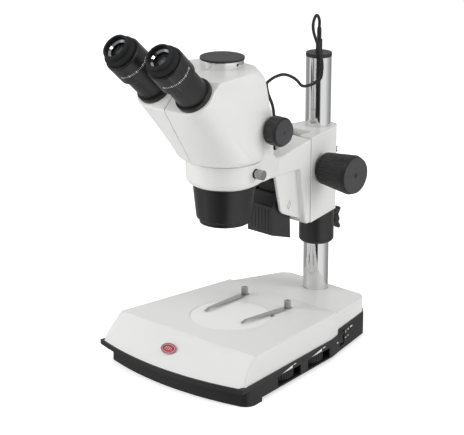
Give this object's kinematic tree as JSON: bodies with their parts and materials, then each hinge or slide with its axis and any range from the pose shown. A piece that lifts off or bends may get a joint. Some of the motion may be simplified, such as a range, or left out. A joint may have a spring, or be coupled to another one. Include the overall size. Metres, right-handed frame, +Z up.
{
  "type": "stereo microscope",
  "caption": "Stereo microscope: wide base with round stage plate and clips, upright pole, focus block, arm with top lamp, angled eyepieces and a capped photo port.",
  "frame": {"origin": "on the bench, under the middle of the bounding box of the whole microscope at rest", "axes": "+X to the user's right, +Y from the user towards the pole, +Z up"},
  "size_m": [0.2354, 0.3697, 0.4268],
  "materials": {
    "white_paint": "satin",
    "stage_white": "satin",
    "black_moulding": "satin",
    "black_metal": "satin",
    "black_rubber": "matte",
    "chrome": "polished",
    "bright_steel": "brushed",
    "alloy": "satin",
    "bronze": "satin",
    "lens_glass": "polished",
    "red_enamel": "gloss",
    "circuit_board": "satin"
  },
  "bodies": {
    "base": {"base_cover": "white_paint", "base_tray": "black_moulding", "bottom_plate": "bright_steel", "rubber_feet": "black_rubber", "base_screws": "bright_steel", "badge": "red_enamel", "stage_plate": "stage_white", "stage_light": "circuit_board", "control_board": "circuit_board", "power_inlet": "black_moulding", "clip_screws": "chrome", "pole": "chrome", "pole_socket": "alloy", "pole_cap": "black_moulding", "cable_plug": "black_moulding", "cable_loop": "black_rubber"},
    "collar": {"stop_collar": "black_metal"},
    "collar_screw": {"collar_knob": "black_moulding"},
    "block": {"focus_block": "white_paint", "shaft_bushes": "bronze", "block_rails": "bright_steel"},
    "block_screw": {"block_knob": "black_moulding"},
    "arm_slide": {"arm": "white_paint", "slide_carriage": "alloy", "focus_rack": "bronze", "lamp_bracket": "black_metal", "cable_drop": "black_rubber"},
    "focus_drive": {"pinion_gear": "bright_steel", "focus_shaft": "bright_steel", "focus_knob_left": "black_moulding", "focus_knob_right": "black_moulding"},
    "lock_screw": {"head_lock_screw": "chrome"},
    "lamp": {"lamp_housing": "black_metal", "lamp_lens": "lens_glass"},
    "head": {"head_cover_left": "white_paint", "head_cover_right": "white_paint", "optical_frame": "alloy", "objective_shroud": "black_metal", "objective_lenses": "black_metal", "prism_blocks": "lens_glass", "port_ring": "chrome"},
    "port_lid": {"port_cap": "black_moulding"},
    "zoom_drive": {"zoom_shaft": "bright_steel", "zoom_knob_left": "black_moulding", "zoom_knob_right": "black_moulding"},
    "zoom_upper": {"zoom_carrier_upper": "alloy"},
    "zoom_lower": {"zoom_carrier_lower": "alloy"},
    "tube_left": {"eye_tube_left": "black_metal"},
    "tube_right": {"eye_tube_right": "black_metal"},
    "diopter_left": {"diopter_ring_left": "black_metal", "eyecup_left": "black_rubber", "eye_lens_left": "lens_glass"},
    "diopter_right": {"diopter_ring_right": "black_metal", "eyecup_right": "black_rubber", "eye_lens_right": "lens_glass"},
    "clip_left": {"stage_clip_left": "bright_steel"},
    "clip_right": {"stage_clip_right": "bright_steel"},
    "wheel_front": {"dial_front": "black_moulding"},
    "wheel_rear": {"dial_rear": "black_moulding"},
    "rocker": {"power_rocker": "black_moulding"}
  },
  "joints": [
    {"name": "collar_height", "type": "slide", "parent": "base", "child": "collar", "axis": [0, 0, 1], "range_m": [-0.045, 0.06]},
    {"name": "collar_screw_turn", "type": "hinge", "parent": "collar", "child": "collar_screw", "pos_m": [0, 0.1404, 0.1374], "axis": [0, 1, 0], "range_deg": [-90, 90]},
    {"name": "block_swing", "type": "hinge", "parent": "collar", "child": "block", "pos_m": [0, 0.1404, 0.2], "axis": [0, 0, 1], "range_deg": [-60, 60]},
    {"name": "block_screw_turn", "type": "hinge", "parent": "block", "child": "block_screw", "pos_m": [0, 0.1404, 0.2313], "axis": [0, 1, 0], "range_deg": [-90, 90]},
    {"name": "focus_travel", "type": "slide", "parent": "block", "child": "arm_slide", "axis": [0, 0, 1], "range_m": [-0.025, 0.025]},
    {"name": "focus_turn", "type": "hinge", "parent": "block", "child": "focus_drive", "pos_m": [0, 0.1144, 0.224], "axis": [1, 0, 0], "range_deg": [-221, 221]},
    {"name": "lock_screw_turn", "type": "hinge", "parent": "arm_slide", "child": "lock_screw", "pos_m": [0, -0.0302, 0.25], "axis": [0.9954, 0.0958, 0], "range_deg": [-90, 90]},
    {"name": "lamp_tilt", "type": "hinge", "parent": "arm_slide", "child": "lamp", "pos_m": [0, 0.0514, 0.214], "axis": [1, 0, 0], "range_deg": [-20, 7]},
    {"name": "head_turn", "type": "hinge", "parent": "arm_slide", "child": "head", "pos_m": [0, -0.0302, 0.262], "axis": [0, 0, 1], "range_deg": [-35, 35]},
    {"name": "port_lid_lift", "type": "slide", "parent": "head", "child": "port_lid", "axis": [0, 0, 1], "range_m": [0, 0.03]},
    {"name": "zoom_turn", "type": "hinge", "parent": "head", "child": "zoom_drive", "pos_m": [0, 0.003, 0.2975], "axis": [1, 0, 0], "range_deg": [-135, 135]},
    {"name": "zoom_upper_travel", "type": "slide", "parent": "head", "child": "zoom_upper", "axis": [0, 0, 1], "range_m": [-0.0067, 0.0067]},
    {"name": "zoom_lower_travel", "type": "slide", "parent": "head", "child": "zoom_lower", "axis": [0, 0, 1], "range_m": [-0.006, 0.006]},
    {"name": "tube_right_swing", "type": "hinge", "parent": "head", "child": "tube_right", "pos_m": [0.0308, -0.1226, 0.3473], "axis": [0, -0.7071, 0.7071], "range_deg": [-20, 20]},
    {"name": "tube_left_swing", "type": "hinge", "parent": "head", "child": "tube_left", "pos_m": [-0.0308, -0.1226, 0.3473], "axis": [0, -0.7071, 0.7071], "range_deg": [-20, 20]},
    {"name": "diopter_right_turn", "type": "hinge", "parent": "tube_right", "child": "diopter_right", "pos_m": [0.0308, -0.1127, 0.3572], "axis": [0.0384, -0.7248, 0.6878], "range_deg": [-150, 150]},
    {"name": "diopter_left_turn", "type": "hinge", "parent": "tube_left", "child": "diopter_left", "pos_m": [-0.0308, -0.1127, 0.3572], "axis": [-0.0384, -0.7248, 0.6878], "range_deg": [-150, 150]},
    {"name": "clip_right_swing", "type": "hinge", "parent": "base", "child": "clip_right", "pos_m": [0.0355, 0.0454, 0.06], "axis": [0, 0, 1], "range_deg": [-15, 60]},
    {"name": "clip_left_swing", "type": "hinge", "parent": "base", "child": "clip_left", "pos_m": [-0.0355, 0.0454, 0.06], "axis": [0, 0, -1], "range_deg": [-15, 60]},
    {"name": "wheel_front_turn", "type": "hinge", "parent": "base", "child": "wheel_front", "pos_m": [0.07963, -0.0296, 0.013], "axis": [0, 0, 1], "range_deg": [-135, 135]},
    {"name": "wheel_rear_turn", "type": "hinge", "parent": "base", "child": "wheel_rear", "pos_m": [0.07112, 0.0344, 0.013], "axis": [0, 0, 1], "range_deg": [-135, 135]},
    {"name": "rocker_tip", "type": "hinge", "parent": "base", "child": "rocker", "pos_m": [0.07981, 0.0924, 0.02], "axis": [0, 1, 0], "range_deg": [-10, 0]}
  ],
  "couplings": [
    {"joint": "focus_turn", "follows": "focus_travel", "rad_per_m": -153.85},
    {"joint": "zoom_upper_travel", "follows": "zoom_turn", "m_per_rad": 0.0028},
    {"joint": "zoom_lower_travel", "follows": "zoom_turn", "m_per_rad": -0.0025},
    {"joint": "tube_left_swing", "follows": "tube_right_swing", "ratio": -1}
  ]
}
